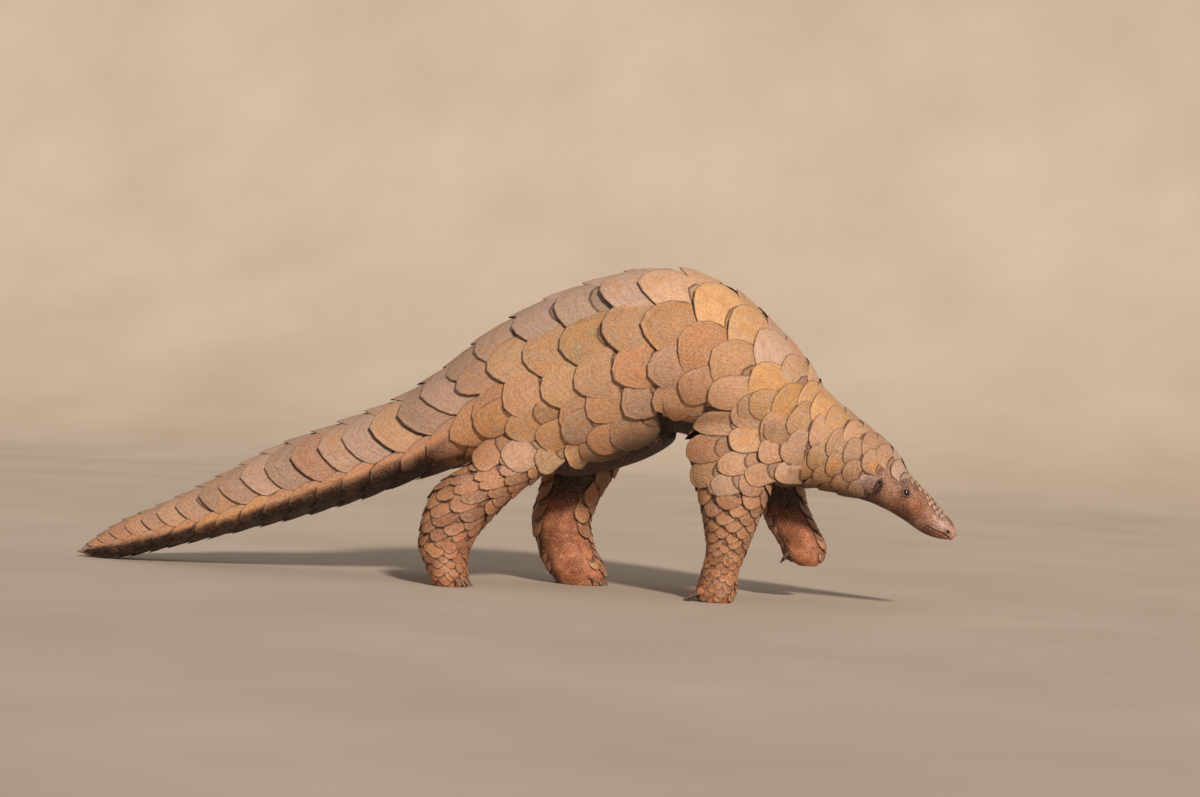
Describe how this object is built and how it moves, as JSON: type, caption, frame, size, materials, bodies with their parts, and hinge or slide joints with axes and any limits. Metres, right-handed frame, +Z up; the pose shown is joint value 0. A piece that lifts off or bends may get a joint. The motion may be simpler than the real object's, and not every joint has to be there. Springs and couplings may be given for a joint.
{
  "type": "pangolin",
  "caption": "Life-size pangolin walking with its nose down and one forefoot lifted, covered in overlapping horn scales, its broad tail trailing behind.",
  "frame": {"origin": "on the floor, below the middle of the whole animal's box", "axes": "+X ahead, towards the nose; +Y to the animal's left; +Z up from the floor"},
  "size_m": [0.9082, 0.205, 0.3303],
  "materials": {
    "plate": "satin",
    "skin": "matte",
    "claw": "satin",
    "eye": "gloss"
  },
  "bodies": {
    "root": {"tail_tip": "plate", "tail_middle": "plate", "tail_base": "plate", "torso_rear": "plate", "torso_front": "plate", "neck": "plate", "head": "plate", "foreleg_right": "plate", "foreleg_left": "plate", "hindleg_right": "plate", "hindleg_left": "plate", "forefoot_right": "skin", "forefoot_left": "skin", "hindfoot_right": "skin", "hindfoot_left": "skin", "ear_right": "skin", "ear_left": "skin", "claw_fore_right_1": "claw", "claw_fore_right_2": "claw", "claw_fore_right_3": "claw", "claw_fore_right_4": "claw", "claw_fore_right_5": "claw", "claw_fore_left_1": "claw", "claw_fore_left_2": "claw", "claw_fore_left_3": "claw", "claw_fore_left_4": "claw", "claw_fore_left_5": "claw", "claw_hind_right_1": "claw", "claw_hind_right_2": "claw", "claw_hind_right_3": "claw", "claw_hind_right_4": "claw", "claw_hind_right_5": "claw", "claw_hind_left_1": "claw", "claw_hind_left_2": "claw", "claw_hind_left_3": "claw", "claw_hind_left_4": "claw", "claw_hind_left_5": "claw", "eye_right": "eye", "eye_left": "eye"}
  },
  "joints": []
}
